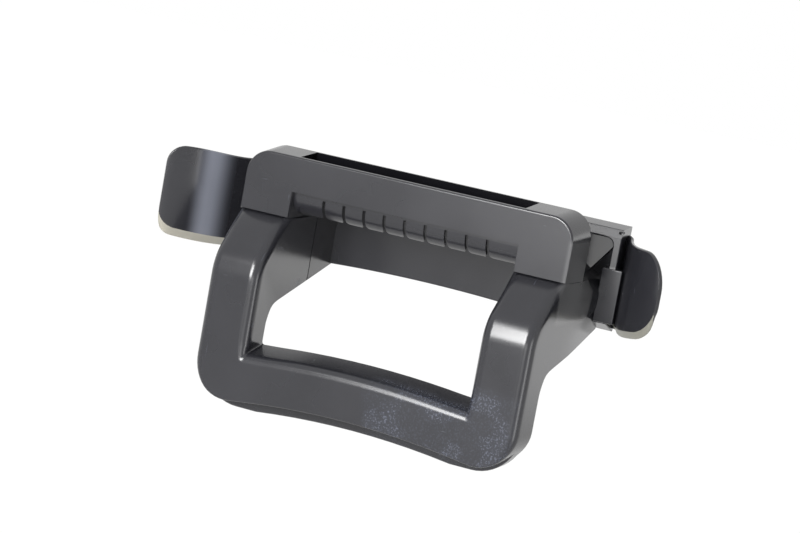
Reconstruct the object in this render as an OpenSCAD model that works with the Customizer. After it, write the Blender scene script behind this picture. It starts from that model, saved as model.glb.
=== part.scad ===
// Carry handle: one moulded piece with a hood, a grip loop, a rear frame and two side wings.
// Millimetres. X runs to the right, Y runs to the back, Z runs up.
// The origin is on the back face of the rear frame, on the middle plane.

/* [Hood] */
// Half of the width of the hood and of the loop
half_w = 100; // [80:0.5:130]
// Depth of the hood from its front face to its rear edge
hood_depth = 26; // [18:0.5:40]
// Height of the hood's top above the frame's middle line
hood_top = 36; // [25:0.5:50]
// Height of the hood's front face at its two sides
hood_face_h = 36.3; // [28:0.1:50]
// Radius of the hood's two upper corners
hood_corner_r = 14; // [4:0.5:20]

/* [Hand opening] */
// Half of the width of the opening between the two sides
gap_half_w = 68.5; // [50:0.5:90]
// Height of the hood's front wall above the opening
front_wall_h = 20.9; // [14:0.1:30]
// Thickness of the hood's front wall
front_wall_t = 3; // [2:0.1:5]

/* [Trough] */
// Half of the length of the trough in the hood's top
trough_half_l = 69; // [40:0.5:80]
// Thickness of the wall behind the trough
trough_wall_t = 2.5; // [1.5:0.1:5]
// Depth of the trough below the hood's top
trough_deep = 16; // [6:0.5:20]
// Thickness of the trough's floor
trough_floor_t = 2.5; // [1.5:0.1:4]

/* [Finger row] */
// Number of slots in the row
slot_count = 9; // [3:1:15]
// Distance from one slot to the next
slot_pitch = 12.6; // [8:0.1:20]
// Width of a slot
slot_w = 2; // [0.8:0.1:4]
// Thickness of the fingers
finger_t = 2; // [1:0.1:4]
// Radius of the fingers' outer curve
finger_r = 12; // [6:0.5:20]
// Length of the straight stretch above the curve
finger_drop = 3.5; // [1:0.5:10]
// Set-back of the fingers behind the hood's front face
finger_set = 1.2; // [0.5:0.1:4]
// Angle that the fingers' curve turns through
finger_turn = 66; // [30:1:90]

/* [Grip loop] */
// How far the grip stands in front of the hood's face
grip_reach = 29.6; // [15:0.1:50]
// Depth of the grip from its front face to its back
grip_depth = 23.6; // [14:0.1:36]
// Angle below level at which the arms leave the hood
arm_start = 25; // [10:1:40]
// Radius of the arms' first bend
arm_bend_1 = 45; // [20:1:80]
// Length of the straight slope between the two bends
arm_slope_l = 13; // [4:0.5:30]
// Radius of the arms' second bend
arm_bend_2 = 24.6; // [10:0.1:40]
// Height of the grip bar's top at the middle, below the hood's top
grip_top = 105.5; // [90:0.5:130]
// Height of the grip bar's lower face at the middle, below the hood's top
grip_low = 140; // [120:0.5:160]
// Rise of the grip bar's middle over its ends
grip_arch = 4.5; // [0:0.1:10]
// Radius of the loop's two lower corners
loop_corner_r = 22; // [8:0.5:30]
// Radius of the opening's two lower corners
gap_corner_r = 4; // [2:0.5:12]
// Height of the step between the front and the rear lip under the bar
lip_h = 5.5; // [1:0.5:8]
// Depth of the rear lip
lip_depth = 12; // [4:0.5:16]

/* [Side walls] */
// Depth of the whole body from the hood's face to the frame's back face
body_depth = 66; // [50:0.5:90]
// Height of the side walls' lower edge at the back, below the hood's top
wall_low_back = 66.3; // [50:0.1:90]
// Height of the side walls' lower edge at the front, below the hood's top
wall_low_front = 85.2; // [70:0.1:110]
// Radius between the side walls' lower edge and the grip's back
wall_blend_r = 9; // [3:0.5:15]
// How far the neck behind the hood stands back from its side
neck_set = 3; // [1:0.5:8]
// Height that the neck starts below the hood's top
neck_drop = 9; // [4:0.5:20]
// Height of the scoop in the neck's side
scoop_h = 16; // [10:0.5:40]
// Depth of the scoop
scoop_deep = 3.5; // [2:0.5:10]
// Height of the top of the sweep that leads the side outward to the frame,
// measured below the hood's top
sweep_drop = 34; // [20:0.5:50]
// Height of the sweep
sweep_h = 25; // [10:0.5:32]

/* [Rear frame] */
// Half of the width of the rear frame
frame_half_w = 111.4; // [104:0.1:130]
// Thickness of the rear frame from front to back
frame_t = 16; // [8:0.5:24]
// Height of the frame's top below the hood's top
frame_drop = 6.5; // [2:0.1:12]
// Width of the frame's edge bars
bar_w = 5; // [3:0.1:8]
// Depth of the window in the frame's side
window_deep = 8; // [3:0.5:12]
// Thickness of the wall at the back of the hand space
back_wall_t = 2.5; // [2:0.1:5]
// Height of the back wall's lower edge at the middle, below the hood's top
back_wall_low = 63; // [50:0.1:80]
// Rise of the back wall's lower edge at the middle
back_wall_arch = 1.3; // [0:0.1:5]
// Thickness of the roof over the hand space
roof_t = 3; // [2:0.1:5]

/* [Back pockets] */
// Thickness of the walls around the pocket in the back of each side box
pocket_wall = 3; // [2:0.1:5]
// Distance of the pocket's floor from the hood's front face
pocket_floor = 6; // [4:0.5:20]
// Radius of the pockets' corners
pocket_r = 3; // [1:0.5:6]

/* [Pads] */
// Width of the pad on each side bar
pad_w = 12.3; // [8:0.1:20]
// Height of the pad
pad_h = 31; // [20:0.5:45]
// Distance of the pad's middle inside the frame's side
pad_in = 0.9; // [0:0.1:5]
// Height of the pad's top below the hood's top
pad_drop = 29; // [15:0.5:50]
// How far the pad stands in front of the frame
pad_out = 4; // [1:0.5:8]

/* [Wings] */
// Thickness of the wings
wing_t = 2.5; // [2:0.1:5]
// Height of the wings' top below the hood's top
wing_drop = 11; // [2:0.1:25]
// Height of the wings with their sole
wing_h = 54; // [30:0.5:70]
// Distance of the wings' root from the frame's back face
wing_root = 3.5; // [2:0.5:12]
// Angle below the X axis at which the wings leave the frame
wing_lean = 37; // [20:1:60]
// Length of the straight start of the wings
wing_run = 6; // [2:0.5:12]
// Radius of the wings' first bend to the front
wing_bend_r = 46; // [30:1:80]
// Angle that the first bend turns through
wing_bend = 31; // [10:1:40]
// Radius of the wings' long sweep to the front
wing_sweep_r = 260; // [120:5:400]
// Angle that the sweep turns through
wing_sweep = 8; // [4:0.5:12]
// Radius of the flare at the wings' tips
wing_flare_r = 6.5; // [5:0.5:14]
// Angle that the tips flare outward through
wing_flare = 80; // [30:1:90]
// Length of the straight end after the flare
wing_tail = 3.4; // [1:0.1:8]
// Radius of the wings' corners at the tip
wing_corner_r = 9; // [4:0.5:20]
// Height of the thick sole along the wings' lower edge
sole_h = 4.6; // [1:0.1:8]
// How far the sole stands out behind the wing
sole_out = 4.5; // [1:0.5:6]

/* [Hidden] */
$fn = 96;
// Position of the hood's front face, seen from the frame's back face
face_y = -body_depth;
// Height of the lower edge of the hood's front face
face_low = hood_top - hood_face_h;
// Front face of the grip
grip_y = face_y - grip_reach;
// Ends of the two bends of the arms
bend_1_y = face_y - arm_bend_1 * (sin(45) - sin(arm_start));
bend_1_z = face_low - arm_bend_1 * (cos(arm_start) - cos(45));
slope_y = bend_1_y - arm_slope_l * cos(45);
slope_z = bend_1_z - arm_slope_l * sin(45);
bend_2_z = slope_z - arm_bend_2 * cos(45);
bend_2_y = slope_y + arm_bend_2 * sin(45);
bend_2_end = acos((bend_2_y - grip_y) / arm_bend_2 > 1 ? 1 : (bend_2_y - grip_y) / arm_bend_2);
pad_x = frame_half_w - pad_in;
frame_top = hood_top - frame_drop;
frame_low = hood_top - wall_low_back;
neck_top = hood_top - neck_drop;
// Path of the wings from the frame's side to their tips: the ends and the middles of its arcs
wing_root_x = frame_half_w - 0.4;
wing_start = 3;
bend_turn = wing_lean + wing_bend;
sweep_turn = bend_turn + wing_sweep;
tail_turn = sweep_turn - wing_flare;
run_end = [wing_root_x, -wing_root] + wing_run * along(wing_lean);
bend_mid = run_end - wing_bend_r * across(wing_lean);
bend_end = bend_mid + wing_bend_r * across(bend_turn);
sweep_mid = bend_end - wing_sweep_r * across(bend_turn);
sweep_end = sweep_mid + wing_sweep_r * across(sweep_turn);
flare_mid = sweep_end + wing_flare_r * across(sweep_turn);
flare_end = flare_mid - wing_flare_r * across(tail_turn);
wing_tip_x = flare_end[0] + wing_tail * cos(tail_turn);

// Direction of the wing's path, turned a degrees below the X axis
function along(a) = [cos(a), -sin(a)];

// Direction square to the wing's path, to the back
function across(a) = [sin(a), cos(a)];

// Arc of the wing's path about a middle, from direction a0 to a1: each stop is a point with its direction
function path_arc(mid, r, a0, a1, n) =
  [for (i = [1 : n]) let (a = a0 + (a1 - a0) * i / n) [mid + r * across(a), a]];

// The wing's whole path, from inside the frame to the tip
wing_path = concat(
  [[run_end - (wing_run + wing_start) * along(wing_lean), wing_lean], [run_end, wing_lean]],
  path_arc(bend_mid, wing_bend_r, wing_lean, bend_turn, 8),
  path_arc(sweep_mid, wing_sweep_r, bend_turn, sweep_turn, 4),
  path_arc(flare_mid, -wing_flare_r, sweep_turn, tail_turn, 10),
  [[flare_end + wing_tail * along(tail_turn), tail_turn]]
);

// Shape given in Y and Z, drawn out along X from x0 to x1
module along_x(x0, x1) {
  translate([x0, 0, 0])
    rotate([90, 0, 90])
      linear_extrude(height = x1 - x0)
        children();
}

// Shape given in X and Z, drawn out along Y from y0 to y1
module along_y(y0, y1) {
  translate([0, y1, 0])
    rotate([90, 0, 0])
      linear_extrude(height = y1 - y0)
        children();
}

// Box given by its two opposite corners
module box(a, b) {
  translate(a)
    cube(b - a);
}

// The same thing on the left and on the right
module both_sides() {
  children();
  mirror([1, 0, 0])
    children();
}

// Rectangle in two dimensions with round corners
module round_rect(a, b, r) {
  hull_x = b[0] - a[0];
  hull_y = b[1] - a[1];
  translate([a[0] + r, a[1]])
    square([hull_x - 2 * r, hull_y]);
  translate([a[0], a[1] + r])
    square([hull_x, hull_y - 2 * r]);
  for (x = [a[0] + r, b[0] - r])
    for (y = [a[1] + r, b[1] - r])
      translate([x, y])
        circle(r = r);
}

// Front outline of the hood: two round upper corners
module hood_outline() {
  r = hood_corner_r;
  translate([-half_w, face_low])
    square([2 * half_w, hood_face_h - r]);
  translate([-half_w + r, face_low])
    square([2 * (half_w - r), hood_face_h]);
  for (x = [-half_w + r, half_w - r])
    translate([x, hood_top - r])
      circle(r = r);
}

// Hood: top box with its side cheeks and its front wall
module hood() {
  color([0.24, 0.24, 0.26])
    difference() {
      along_y(face_y, face_y + hood_depth)
        hood_outline();
      // open under the front wall
      box([-gap_half_w, face_y - 1, face_low - 1], [gap_half_w, face_y + hood_depth + 1, hood_top - front_wall_h]);
      // room behind the front wall, under the trough's floor
      box([-gap_half_w, face_y + front_wall_t, face_low - 1],
          [gap_half_w, face_y + hood_depth + 1, hood_top - trough_deep - trough_floor_t]);
    }
}

// Room of the trough in the hood's top
module trough() {
  box([-trough_half_l, face_y + front_wall_t, hood_top - trough_deep],
      [trough_half_l, face_y + hood_depth - trough_wall_t, hood_top + 1]);
}

// Section of one finger in Y and Z: a straight drop, then a curve to the back
module finger_section() {
  y0 = face_y + finger_set;
  z0 = hood_top - front_wall_h + 1;
  translate([y0, z0 - finger_drop - 1])
    square([finger_t, finger_drop + 1]);
  intersection() {
    difference() {
      translate([y0 + finger_r, z0 - finger_drop - 1])
        circle(r = finger_r);
      translate([y0 + finger_r, z0 - finger_drop - 1])
        circle(r = finger_r - finger_t);
    }
    translate([y0 + finger_r, z0 - finger_drop - 1])
      polygon([
        [0, 0],
        [-2 * finger_r, 0],
        [-2 * finger_r, -2 * finger_r],
        [-2 * finger_r * cos(finger_turn), -2 * finger_r * sin(finger_turn)]
      ]);
  }
}

// Row of fingers under the front wall, cut apart by slots
module finger_row() {
  color([0.22, 0.22, 0.24])
    difference() {
      along_x(-gap_half_w - 1, gap_half_w + 1)
        finger_section();
      for (i = [0 : slot_count - 1])
        translate([(i - (slot_count - 1) / 2) * slot_pitch, face_y, hood_top - front_wall_h - 1])
          union() {
            translate([-slot_w / 2, -5, -30])
              cube([slot_w, 40, 29.2]);
            translate([0, 35, -0.8])
              rotate([90, 0, 0])
                cylinder(r = slot_w / 2, h = 40, $fn = 24);
          }
    }
}

// Side outline of an arm with its side wall, in Y and Z
module arm_section() {
  n = 8;
  back_y = grip_y + grip_depth;
  low_front = hood_top - wall_low_front;
  low_back = hood_top - wall_low_back;
  slant = atan((low_back - low_front) / -back_y);
  difference() {
    polygon(concat(
      [
        [face_y + hood_depth, hood_top - front_wall_t],
        [face_y + front_wall_t, hood_top - front_wall_t],
        [face_y + front_wall_t, face_low + front_wall_t],
        [face_y, face_low]
      ],
      [for (i = [1 : n])
        let (a = arm_start + (45 - arm_start) * i / n)
        [face_y - arm_bend_1 * (sin(a) - sin(arm_start)), face_low - arm_bend_1 * (cos(arm_start) - cos(a))]],
      [for (i = [0 : n])
        let (a = 135 + (45 - bend_2_end) * i / n)
        [bend_2_y + arm_bend_2 * cos(a), bend_2_z + arm_bend_2 * sin(a)]],
      [
        [grip_y, hood_top - grip_low - 2 * grip_arch],
        [back_y, hood_top - grip_low - 2 * grip_arch],
        [back_y, low_front],
        [0, low_back],
        [0, neck_top],
        [face_y + hood_depth, neck_top]
      ]
    ));
  }
  // round blend between the side wall and the grip's back
  difference() {
    polygon([
      [back_y - 1, low_front + 1],
      [back_y - 1, low_front - wall_blend_r],
      [back_y, low_front - wall_blend_r],
      [back_y + wall_blend_r, low_front + wall_blend_r * tan(slant)],
      [back_y + wall_blend_r, low_front + wall_blend_r * tan(slant) + 1]
    ]);
    translate([back_y + wall_blend_r * 1.02, low_front - wall_blend_r * 0.86])
      circle(r = wall_blend_r * 1.02);
  }
}

// Lower line of the grip bar: a shallow arch between two round corners
module loop_outline(low, r, inset) {
  w = half_w - inset;
  arch_r = (pow(w - r, 2) + pow(grip_arch, 2)) / (2 * grip_arch);
  z_end = hood_top - low - grip_arch;
  difference() {
    union() {
      translate([-w, z_end + r])
        square([2 * w, low + grip_arch - r - front_wall_t]);
      translate([-w + r, z_end])
        square([2 * (w - r), r + 1]);
      for (x = [-w + r, w - r])
        translate([x, z_end + r])
          circle(r = r);
    }
    translate([0, hood_top - low - arch_r])
      circle(r = arch_r, $fn = 360);
  }
}

// The opening that the hand goes through, seen from the front
module gap_outline() {
  w = gap_half_w;
  r = gap_corner_r;
  arch_r = (pow(w, 2) + pow(grip_arch - 1, 2)) / (2 * (grip_arch - 1));
  z_end = hood_top - grip_top - grip_arch + 1;
  difference() {
    union() {
      translate([-w, z_end + r])
        square([2 * w, hood_top + 1 - z_end - r]);
      translate([-w + r, z_end])
        square([2 * (w - r), r + 1]);
      for (x = [-w + r, w - r])
        translate([x, z_end + r])
          circle(r = r);
    }
    translate([0, hood_top - grip_top - arch_r])
      circle(r = arch_r, $fn = 360);
  }
}

// Grip loop: the two arms, the side walls behind them and the bar
module grip_loop() {
  color([0.23, 0.23, 0.25])
    difference() {
      intersection() {
        along_x(-half_w, half_w)
          arm_section();
        union() {
          along_y(grip_y - 1, grip_y + grip_depth - lip_depth)
            loop_outline(grip_low - lip_h, loop_corner_r, 0);
          along_y(grip_y + grip_depth - lip_depth, 1)
            loop_outline(grip_low, loop_corner_r, 0);
        }
      }
      along_y(grip_y - 2, 2)
        gap_outline();
      // neck and scoop behind the hood
      both_sides()
        box([half_w - neck_set, face_y + hood_depth, hood_top - neck_drop - scoop_h], [half_w + 1, 1, hood_top]);
      both_sides()
        box([half_w - neck_set - scoop_deep, face_y + hood_depth, hood_top - neck_drop - scoop_h + 4],
            [half_w + 1, -frame_t, hood_top]);
    }
}

// Part of the side that sweeps outward behind the hood, into the frame's side bar
module side_sweep() {
  n = 8;
  lap = 0.8;
  reach = body_depth - hood_depth - frame_t;
  out = frame_half_w - bar_w + 0.5 - half_w;
  back_y = window_deep - frame_t + 0.5;
  color([0.23, 0.23, 0.25])
    translate([0, 0, hood_top - sweep_drop - sweep_h])
      linear_extrude(height = sweep_h)
        polygon(concat(
          [for (i = [0 : n])
            [half_w - lap + (out + lap) * pow(i / n, 2), face_y + hood_depth + reach * i / n]],
          [[half_w + out, back_y], [half_w - neck_set, back_y], [half_w - neck_set, face_y + hood_depth]]
        ));
}

// Rear frame: edge bars with a window at each side, a back wall and a roof
module rear_frame() {
  w = frame_half_w;
  arch_r = (pow(gap_half_w, 2) + pow(back_wall_arch, 2)) / (2 * back_wall_arch);
  inner = half_w - neck_set - scoop_deep;
  color([0.25, 0.25, 0.27])
    difference() {
      union() {
        along_y(-frame_t, 0)
          round_rect([-w, frame_low], [w, frame_top], 2);
        box([-gap_half_w - 2, face_y + hood_depth - trough_wall_t, neck_top - roof_t], [gap_half_w + 2, 0, neck_top]);
      }
      // hand space in front of the back wall
      box([-gap_half_w, -frame_t - 1, frame_low - 1], [gap_half_w, -back_wall_t, neck_top - roof_t]);
      // window at each side, open to the front
      both_sides()
        along_y(-frame_t - 1, -frame_t + window_deep)
          round_rect([inner, frame_low + 3], [w - bar_w, frame_top - bar_w], 3);
      // arched lower edge of the back wall
      intersection() {
        along_y(-back_wall_t - 1, 1)
          translate([0, hood_top - back_wall_low - arch_r + back_wall_arch])
            circle(r = arch_r, $fn = 360);
        box([-gap_half_w, -back_wall_t - 1, frame_low - 10], [gap_half_w, 1, frame_top]);
      }
    }
}

// Pocket in the back of each side box, open to the back
module back_pockets() {
  x0 = gap_half_w + pocket_wall;
  x1 = half_w - neck_set - scoop_deep - pocket_wall;
  both_sides()
    along_y(face_y + pocket_floor, 1)
      round_rect([x0, frame_low + 2 * pocket_wall + 2], [x1, neck_top - pocket_wall], pocket_r);
}

// One pad on the side bar of the rear frame
module side_pad() {
  color([0.27, 0.28, 0.31])
    box([pad_x - pad_w / 2, -frame_t - pad_out, hood_top - pad_drop - pad_h],
        [pad_x + pad_w / 2, -frame_t + 4, hood_top - pad_drop]);
}

// Plan of the right wing in X and Y: a bend at the root, a long sweep to the front and a flare at the tip.
// front and back are the distances of its two faces from the path.
module wing_plan(front, back) {
  n = len(wing_path) - 1;
  polygon(concat(
    [for (stop = wing_path) stop[0] - front * across(stop[1])],
    [for (i = [0 : n]) wing_path[n - i][0] + back * across(wing_path[n - i][1])]
  ));
}

// One wing: its plan drawn up, with round corners at the tip and a thick sole
module side_wing() {
  top = hood_top - wing_drop;
  low = top - wing_h;
  tip_x = wing_tip_x;
  color([0.25, 0.25, 0.27])
    intersection() {
      union() {
        translate([0, 0, low + sole_h])
          linear_extrude(height = wing_h - sole_h)
            wing_plan(wing_t / 2, wing_t / 2);
        translate([0, 0, low])
          linear_extrude(height = sole_h + 1)
            wing_plan(wing_t / 2 - 1, wing_t / 2 + sole_out);
      }
      along_y(grip_y - wing_h, 0)
        union() {
          round_rect([frame_half_w - 2 * wing_corner_r, low], [tip_x, top], wing_corner_r);
          translate([frame_half_w - 2 * wing_corner_r, low])
            square([3 * wing_corner_r, wing_h]);
        }
    }
}

// The whole moulding
module carry_handle() {
  difference() {
    union() {
      hood();
      finger_row();
      grip_loop();
      rear_frame();
      both_sides()
        side_sweep();
      both_sides()
        side_pad();
      both_sides()
        side_wing();
    }
    trough();
    back_pockets();
  }
}

carry_handle();
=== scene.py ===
"""Carry handle: the finished look of one dark grey moulding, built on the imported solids.

Lengths in the classes are millimetres. They are taken as on a drawing: x to the right of the
middle plane, back behind the hood's front face, and up from the hood's front top edge.
"""

import logging
import math
from dataclasses import dataclass
from enum import Enum

import bmesh
import bpy
from mathutils import Matrix, Vector


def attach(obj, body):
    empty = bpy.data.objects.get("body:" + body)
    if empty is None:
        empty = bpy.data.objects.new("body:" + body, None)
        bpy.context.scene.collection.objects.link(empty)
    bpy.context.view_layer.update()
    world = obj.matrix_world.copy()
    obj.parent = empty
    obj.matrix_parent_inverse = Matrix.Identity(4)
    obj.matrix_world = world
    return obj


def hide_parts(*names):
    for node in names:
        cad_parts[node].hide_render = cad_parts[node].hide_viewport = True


LOG = logging.getLogger("carry_handle")
NODE = "carry_handle"
BODY = "root"
MM = 0.001
ON_PLANE = 1e-6
MERGE_REACH = 1e-5
MOST_OF_SIDE = 0.98
EDGE_STEPS = 3
RIGHT_ANGLE = 90.0
# Painted reflection: light beige sole colours that stand in for the floor's light reflected on the wing
# soles.
BRIGHT_SOLE_REFLECTION = (0.25, 0.24, 0.205)
DIM_SOLE_REFLECTION = (0.14, 0.138, 0.118)
# Painted shade: near-black colour for the inside of the trough.
SHADED_TONE = (0.0035, 0.0035, 0.0045)

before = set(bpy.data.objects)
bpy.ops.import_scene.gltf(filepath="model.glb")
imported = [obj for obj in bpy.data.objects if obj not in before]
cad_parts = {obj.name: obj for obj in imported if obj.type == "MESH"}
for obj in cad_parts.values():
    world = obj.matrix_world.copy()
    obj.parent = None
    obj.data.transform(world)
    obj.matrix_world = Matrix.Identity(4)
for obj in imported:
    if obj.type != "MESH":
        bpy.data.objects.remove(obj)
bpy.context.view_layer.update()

Pair = tuple[float, float]
Point = tuple[float, float, float]
Colour = tuple[float, float, float]
Corner = tuple[Point, float, int]
Row = tuple[float, float, float]
Piece = bpy.types.Object


class Side(Enum):
    """Which half of the handle a piece belongs to."""

    LEFT = -1
    RIGHT = 1


class Finish(Enum):
    """The looks that a face can have: the satin plastic, painted shade, and a bright and a dim painted
    reflection.
    """

    SATIN = 0
    # painted shade inside the trough
    SHADED = 1
    # painted reflection of the floor on the left wing's sole
    PAINTED_BRIGHT_SOLE = 2
    # dimmer painted reflection of the floor on the right wing's sole
    PAINTED_DIM_SOLE = 3


@dataclass(frozen=True)
class Datum:
    """Where the drawing's origin lies in the row frame, in millimetres.

    The row frame's origin is on the back face of the rear frame.
    """

    back: float = -66.0
    up: float = 34.0

    def place(self, point: Point) -> Vector:
        """Turns a point of the drawing into one of the row frame.

        Args:
            point: x, back and up in millimetres.

        Returns:
            The same point in metres.
        """
        x, back, up = point
        return Vector((x, back + self.back, up + self.up)) * MM


DATUM = Datum()


def smooth_step(low: float, high: float, value: float) -> float:
    """Eases from 0 at low to 1 at high.

    Args:
        low: Value that gives 0.
        high: Value that gives 1.
        value: The value to ease.

    Returns:
        A number from 0 to 1.
    """
    share = min(1.0, max(0.0, (value - low) / (high - low)))
    return share * share * (3.0 - 2.0 * share)


def mix(a: float, b: float, share: float) -> float:
    """Returns the value that lies share of the way from a to b."""
    return a + (b - a) * share


def mix_points(a: Point, b: Point, share: float) -> Point:
    """Returns the point that lies share of the way from a to b."""
    return (mix(a[0], b[0], share), mix(a[1], b[1], share), mix(a[2], b[2], share))


def quarter(steps: int) -> list[Pair]:
    """Returns the cosine and the sine at each step of a quarter turn."""
    turns = [math.radians(RIGHT_ANGLE * step / steps) for step in range(steps + 1)]
    return [(math.cos(turn), math.sin(turn)) for turn in turns]


def rounded(*corners: Point | Corner) -> list[Point]:
    """Rounds the corners of a closed polygon.

    Args:
        corners: The corners in order: a bare point where the corner stays sharp, or else the
            point, its radius and its number of steps.

    Returns:
        The points of the rounded outline, in order.
    """
    outline: list[Point] = []
    full = [corner if isinstance(corner[0], tuple) else (corner, 0.0, 0) for corner in corners]
    for index, (point, radius, steps) in enumerate(full):
        if radius <= 0.0:
            outline.append(point)
            continue
        here = Vector(point)
        before = Vector(full[index - 1][0]) - here
        after = Vector(full[(index + 1) % len(full)][0]) - here
        reach = min(before.length, after.length)
        before.normalize()
        after.normalize()
        half = before.angle(after) / 2.0
        setback = min(radius / math.tan(half), reach * MOST_OF_SIDE)
        size = setback * math.tan(half)
        middle = here + (before + after).normalized() * (size / math.sin(half))
        start = here + before * setback - middle
        stop = here + after * setback - middle
        swing = start.angle(stop)
        for step in range(steps + 1):
            share = step / steps
            arm = (start * math.sin((1 - share) * swing) + stop * math.sin(share * swing)) / math.sin(swing)
            outline.append((*(middle + arm),))
    return outline


class Bench:
    """The modelling steps that the pieces share, each made of Blender's own operators."""

    @staticmethod
    def clear() -> None:
        """Leaves edit mode and deselects everything."""
        if bpy.context.object and bpy.context.object.mode != "OBJECT":
            bpy.ops.object.mode_set(mode="OBJECT")
        bpy.ops.object.select_all(action="DESELECT")

    @classmethod
    def pick(cls, *pieces: Piece) -> None:
        """Selects these pieces alone and makes the first one active."""
        cls.clear()
        for piece in pieces:
            piece.select_set(True)
        bpy.context.view_layer.objects.active = pieces[0]

    @staticmethod
    def _named(name: str) -> Piece:
        """Gives the active object and its mesh a name, and returns the object."""
        piece = bpy.context.object
        piece.name = name
        piece.data.name = name
        return piece

    @classmethod
    def loft(cls, name: str, sections: list[list[Point]]) -> Piece:
        """Extrudes a closed ring from section to section and caps both ends.

        Args:
            name: Name of the new piece.
            sections: Rings of equally many points, in millimetres on the drawing.

        Returns:
            The closed piece.
        """
        cls.clear()
        bpy.ops.mesh.primitive_circle_add(vertices=len(sections[0]), radius=0.01, fill_type="NOTHING")
        piece = cls._named(name)
        bpy.ops.object.mode_set(mode="EDIT")
        bpy.ops.mesh.select_mode(type="VERT")
        ring = list(range(len(sections[0])))
        cls._move(bmesh.from_edit_mesh(piece.data), ring, sections[0])
        bpy.ops.mesh.select_all(action="SELECT")
        bpy.ops.mesh.edge_face_add()
        for section in sections[1:]:
            bpy.ops.mesh.extrude_region_move()
            mesh = bmesh.from_edit_mesh(piece.data)
            ring = cls._follow(mesh, ring)
            cls._move(mesh, ring, section)
        bpy.ops.mesh.select_all(action="SELECT")
        bpy.ops.mesh.normals_make_consistent(inside=False)
        bpy.ops.object.mode_set(mode="OBJECT")
        return piece

    @staticmethod
    def _move(mesh: bmesh.types.BMesh, ring: list[int], section: list[Point]) -> None:
        """Moves the corners of a ring to the points of a section."""
        mesh.verts.ensure_lookup_table()
        for index, point in zip(ring, section):
            mesh.verts[index].co = DATUM.place(point)

    @staticmethod
    def _follow(mesh: bmesh.types.BMesh, ring: list[int]) -> list[int]:
        """Finds the new ring that an extrusion has just made, in the old ring's order.

        Args:
            mesh: The mesh in edit mode.
            ring: Indices of the old ring.

        Returns:
            Indices of the new ring.
        """
        mesh.verts.ensure_lookup_table()
        new_ring: list[int] = []
        for index in ring:
            corner = mesh.verts[index]
            others = [edge.other_vert(corner) for edge in corner.link_edges]
            new_ring.append(next(other.index for other in others if other.select))
        return new_ring

    @classmethod
    def slab(cls, name: str, low: Point, high: Point, rounding: float = 0.0) -> Piece:
        """Makes a block between two corners and rounds its edges.

        Args:
            name: Name of the new piece.
            low: Lowest corner on the drawing.
            high: Highest corner on the drawing.
            rounding: Radius of the edges in millimetres, or 0 for sharp ones.

        Returns:
            The block.
        """
        cls.clear()
        a, b = DATUM.place(low), DATUM.place(high)
        bpy.ops.mesh.primitive_cube_add(size=1.0, location=(a + b) / 2.0, scale=b - a)
        piece = cls._named(name)
        bpy.ops.object.transform_apply(location=True, rotation=True, scale=True)
        if rounding > 0.0:
            bpy.ops.object.mode_set(mode="EDIT")
            bpy.ops.mesh.select_all(action="SELECT")
            bpy.ops.mesh.bevel(offset=rounding * MM, segments=EDGE_STEPS, affect="EDGES")
            bpy.ops.object.mode_set(mode="OBJECT")
        return piece

    @classmethod
    def _modify(cls, piece: Piece, kind: str, **settings: object) -> None:
        """Applies a modifier of a kind to a piece, with its settings."""
        cls.pick(piece)
        modifier = piece.modifiers.new(kind.title(), kind)
        for name, value in settings.items():
            setattr(modifier, name, value)
        bpy.ops.object.modifier_apply(modifier=modifier.name)

    @classmethod
    def cut(cls, piece: Piece, tool: Piece) -> None:
        """Cuts a tool's shape out of a piece and removes the tool."""
        cls._modify(piece, "BOOLEAN", operation="DIFFERENCE", solver="EXACT", object=tool)
        bpy.data.objects.remove(tool, do_unlink=True)

    @classmethod
    def cut_pair(cls, piece: Piece, tool: Piece) -> None:
        """Cuts a tool's shape and its mirror image out of a piece and removes the tool."""
        cls.twin(tool)
        cls.cut(piece, tool)

    @classmethod
    def twin(cls, piece: Piece, join: bool = False) -> None:
        """Adds a piece's mirror image on the other side of the middle plane.

        Args:
            piece: The right half, or the right one of a pair.
            join: Whether the two halves meet on the middle plane and are joined there.
        """
        if join:
            cls.pick(piece)
            bpy.ops.object.mode_set(mode="EDIT")
            bpy.ops.mesh.select_mode(type="FACE")
            bpy.ops.mesh.select_all(action="DESELECT")
            mesh = bmesh.from_edit_mesh(piece.data)
            for face in mesh.faces:
                if all(abs(corner.co.x) < ON_PLANE for corner in face.verts):
                    face.select = True
            bmesh.update_edit_mesh(piece.data)
            bpy.ops.mesh.delete(type="ONLY_FACE")
            bpy.ops.object.mode_set(mode="OBJECT")
        axis = (True, False, False)
        cls._modify(piece, "MIRROR", use_axis=axis, use_mirror_merge=join, merge_threshold=MERGE_REACH)

    @classmethod
    def weld(cls, name: str, pieces: list[Piece]) -> Piece:
        """Joins several pieces into one object without merging their surfaces."""
        cls.pick(*pieces)
        bpy.ops.object.join()
        return cls._named(name)

    @classmethod
    def finish(cls, piece: Piece, angle: float = 32.0, weight: int = 80) -> None:
        """Shades a piece smooth up to an angle and evens out its normals.

        Args:
            piece: The piece to finish.
            angle: Largest angle between two faces that still shade as one, in degrees.
            weight: How much large faces count in a normal, where 50 is even.
        """
        cls.pick(piece)
        bpy.ops.object.shade_smooth_by_angle(angle=math.radians(angle))
        cls._modify(piece, "WEIGHTED_NORMAL", keep_sharp=True, weight=weight)


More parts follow.
